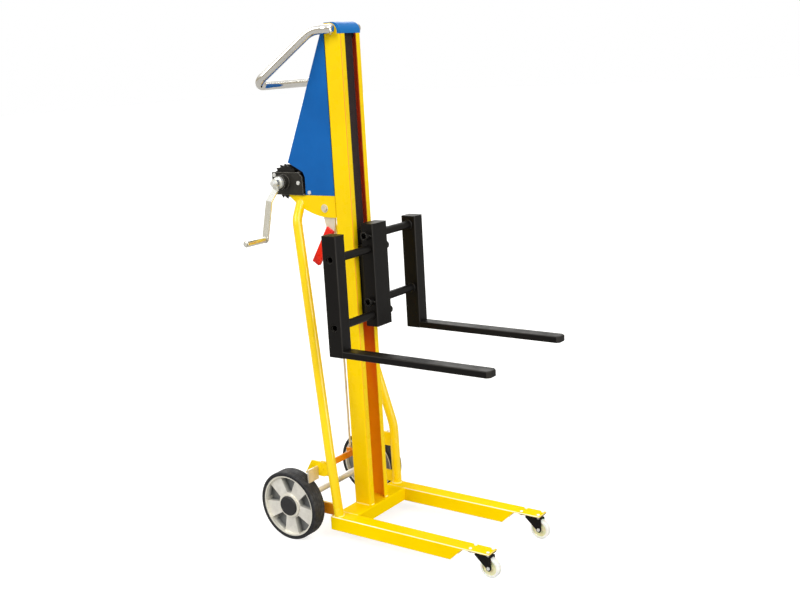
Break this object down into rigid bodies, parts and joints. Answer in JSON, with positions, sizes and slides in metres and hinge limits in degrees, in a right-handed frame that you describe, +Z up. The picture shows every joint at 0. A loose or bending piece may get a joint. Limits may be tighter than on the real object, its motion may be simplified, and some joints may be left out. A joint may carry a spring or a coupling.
{
  "type": "hand pallet stacker",
  "caption": "Hand pallet stacker: a cranked winch lifts sliding forks up a channel mast on straddle legs with swivel casters, rear wheels and a brake lever.",
  "frame": {"origin": "floor level, middle of the overall length and width", "axes": "+X forward along the forks, +Y to the machine's left, +Z up"},
  "size_m": [0.9924, 0.53, 1.786],
  "materials": {
    "yellow_paint": "gloss",
    "blue_paint": "gloss",
    "chrome": "polished",
    "black_paint": "satin",
    "dark_steel": "satin",
    "zinc_steel": "satin",
    "plated_steel": "polished",
    "bare_steel": "satin",
    "strap_web": "matte",
    "nylon": "satin",
    "wheel_aluminium": "cast",
    "tyre_rubber": "matte",
    "black_plastic": "satin",
    "cream_plastic": "satin",
    "red_plastic": "gloss"
  },
  "bodies": {
    "frame": {"mast": "yellow_paint", "pulley_pin": "zinc_steel", "pulley_guard": "blue_paint", "base_leg_near": "yellow_paint", "base_leg_far": "yellow_paint", "base_cross": "yellow_paint", "brace_near": "yellow_paint", "brace_far": "yellow_paint", "axle_brackets": "yellow_paint", "rear_axle": "zinc_steel", "axle_hardware": "zinc_steel", "caster_plate_near": "black_paint", "caster_plate_far": "black_paint", "caster_bolts": "zinc_steel", "winch_bracket": "yellow_paint", "winch_cover": "blue_paint", "handle": "chrome", "winch_frame": "black_paint", "frame_screws": "zinc_steel", "strap_front": "strap_web", "strap_run": "strap_web", "brake_lugs": "yellow_paint"},
    "carriage": {"carriage_block": "black_paint", "carriage_slider": "dark_steel", "strap_clamp": "dark_steel"},
    "upper_rollers": {"roller_upper": "nylon"},
    "lower_rollers": {"roller_lower": "nylon"},
    "fork_near": {"fork_upright_near": "black_paint", "fork_tine_near": "black_paint", "fork_bars_near": "black_paint"},
    "fork_far": {"fork_upright_far": "black_paint", "fork_tine_far": "black_paint", "fork_bars_far": "black_paint"},
    "crank": {"crank_shaft": "zinc_steel", "winch_drum": "dark_steel", "ratchet_wheel": "dark_steel", "crank_hardware": "zinc_steel", "crank_arm": "plated_steel", "strap_roll": "strap_web"},
    "grip_sleeve": {"crank_grip": "plated_steel"},
    "ratchet_pawl": {"pawl": "dark_steel"},
    "strap_pulley": {"top_pulley": "dark_steel"},
    "wheel_near": {"tyre_near": "tyre_rubber", "hub_near": "wheel_aluminium", "hub_cap_near": "black_plastic"},
    "wheel_far": {"tyre_far": "tyre_rubber", "hub_far": "wheel_aluminium", "hub_cap_far": "black_plastic"},
    "swivel_near": {"caster_fork_near": "black_paint", "caster_axle_near": "zinc_steel"},
    "swivel_far": {"caster_fork_far": "black_paint", "caster_axle_far": "zinc_steel"},
    "caster_near": {"caster_wheel_near": "cream_plastic"},
    "caster_far": {"caster_wheel_far": "cream_plastic"},
    "lever": {"brake_lever": "bare_steel", "lever_grip": "red_plastic"},
    "rod": {"brake_rod": "bare_steel"},
    "brake": {"brake_bar": "yellow_paint", "brake_shoes": "bare_steel"}
  },
  "joints": [
    {"name": "carriage_lift", "type": "slide", "parent": "frame", "child": "carriage", "axis": [0, 0, 1], "range_m": [-0.6, 0.55], "deforming": ["strap_front"]},
    {"name": "upper_roller_turn", "type": "hinge", "parent": "carriage", "child": "upper_rollers", "pos_m": [-0.1798, 0, 1.066], "axis": [0, 1, 0], "range_deg": [-1150, 1150]},
    {"name": "lower_roller_turn", "type": "hinge", "parent": "carriage", "child": "lower_rollers", "pos_m": [-0.1798, 0, 0.8], "axis": [0, 1, 0], "range_deg": [-1150, 1150]},
    {"name": "fork_near_shift", "type": "slide", "parent": "carriage", "child": "fork_near", "axis": [0, 1, 0], "range_m": [0, 0.065]},
    {"name": "fork_far_shift", "type": "slide", "parent": "carriage", "child": "fork_far", "axis": [0, -1, 0], "range_m": [0, 0.065]},
    {"name": "crank_turn", "type": "hinge", "parent": "frame", "child": "crank", "pos_m": [-0.4348, 0, 1.255], "axis": [0, 1, 0], "range_deg": [-900, 830]},
    {"name": "grip_turn", "type": "hinge", "parent": "crank", "child": "grip_sleeve", "pos_m": [-0.4522, -0.213, 1.06379], "axis": [0, 1, 0], "continuous": true},
    {"name": "pawl_lift", "type": "hinge", "parent": "frame", "child": "ratchet_pawl", "pos_m": [-0.3662, -0.046, 1.252], "axis": [0, -1, 0], "range_deg": [0, 15], "stiffness_Nm_per_rad": 0.05, "springref_deg": -11.46},
    {"name": "pulley_turn", "type": "hinge", "parent": "frame", "child": "strap_pulley", "pos_m": [-0.1848, 0, 1.752], "axis": [0, 1, 0], "range_deg": [-1300, 1300]},
    {"name": "wheel_near_roll", "type": "hinge", "parent": "frame", "child": "wheel_near", "pos_m": [-0.3548, -0.235, 0.125], "axis": [0, 1, 0], "continuous": true},
    {"name": "caster_near_swivel", "type": "hinge", "parent": "frame", "child": "swivel_near", "pos_m": [0.3912, -0.1685, 0.076], "axis": [0, 0, 1], "continuous": true},
    {"name": "caster_near_roll", "type": "hinge", "parent": "swivel_near", "child": "caster_near", "pos_m": [0.4222, -0.1685, 0.035], "axis": [0, 1, 0], "continuous": true},
    {"name": "wheel_far_roll", "type": "hinge", "parent": "frame", "child": "wheel_far", "pos_m": [-0.3548, 0.235, 0.125], "axis": [0, 1, 0], "continuous": true},
    {"name": "caster_far_swivel", "type": "hinge", "parent": "frame", "child": "swivel_far", "pos_m": [0.3912, 0.1685, 0.076], "axis": [0, 0, 1], "continuous": true},
    {"name": "caster_far_roll", "type": "hinge", "parent": "swivel_far", "child": "caster_far", "pos_m": [0.4222, 0.1685, 0.035], "axis": [0, 1, 0], "continuous": true},
    {"name": "lever_swing", "type": "hinge", "parent": "frame", "child": "lever", "pos_m": [-0.2618, 0, 1.165], "axis": [0, 1, 0], "range_deg": [0, 30]},
    {"name": "rod_swing", "type": "hinge", "parent": "lever", "child": "rod", "pos_m": [-0.2854, 0.023, 1.165], "axis": [0, 1, 0], "range_deg": [-31, 1]},
    {"name": "brake_rock", "type": "hinge", "parent": "frame", "child": "brake", "pos_m": [-0.2448, 0, 0.257], "axis": [0, 1, 0], "range_deg": [0, 18]}
  ],
  "couplings": [
    {"joint": "crank_turn", "follows": "carriage_lift", "rad_per_m": 24.94},
    {"joint": "pulley_turn", "follows": "carriage_lift", "rad_per_m": -37.74},
    {"joint": "upper_roller_turn", "follows": "carriage_lift", "rad_per_m": 32.79},
    {"joint": "lower_roller_turn", "follows": "carriage_lift", "rad_per_m": -32.79},
    {"joint": "brake_rock", "follows": "lever_swing", "ratio": 0.567},
    {"joint": "rod_swing", "follows": "lever_swing", "ratio": -0.9958}
  ]
}
